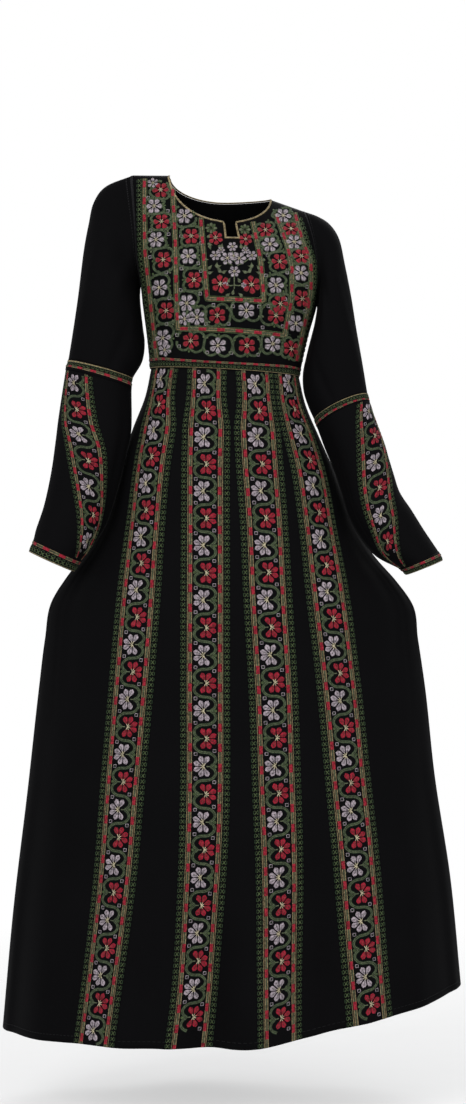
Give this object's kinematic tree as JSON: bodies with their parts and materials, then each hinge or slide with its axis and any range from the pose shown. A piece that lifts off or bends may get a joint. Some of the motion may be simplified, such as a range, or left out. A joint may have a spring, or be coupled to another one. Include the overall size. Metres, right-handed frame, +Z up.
{
  "type": "embroidered thobe dress",
  "caption": "Full-length long-sleeved dress in its worn hollow form, with an embroidered chest, waist band, sleeve bands and skirt strips.",
  "frame": {"origin": "between the shoulders, on the plane of the shoulder and side seams, where the wearer's shoulders hold the dress", "axes": "+Z up, -Y is the dress's front, +X is the wearer's left"},
  "size_m": [0.746, 0.4776, 1.3883],
  "materials": {
    "crepe": "matt",
    "embroidered_panel": "matt",
    "embroidered_strip": "matt",
    "embroidered_band": "matt",
    "binding": "matt"
  },
  "bodies": {
    "root": {"front_bodice": "embroidered_panel", "back_bodice": "crepe", "neck_binding": "binding", "waist_band": "embroidered_band", "front_skirt": "crepe", "back_skirt": "crepe", "skirt_band_1": "embroidered_strip", "skirt_band_2": "embroidered_strip", "skirt_band_3": "embroidered_strip", "skirt_band_4": "embroidered_strip", "upper_sleeve_right": "crepe", "upper_sleeve_left": "crepe", "lower_sleeve_right": "crepe", "lower_sleeve_left": "crepe", "elbow_band_right": "embroidered_band", "elbow_band_left": "embroidered_band", "cuff_band_right": "embroidered_band", "cuff_band_left": "embroidered_band", "sleeve_front_band_right": "embroidered_strip", "sleeve_front_band_left": "embroidered_strip", "sleeve_side_band_right": "embroidered_strip", "sleeve_side_band_left": "embroidered_strip"}
  },
  "joints": []
}
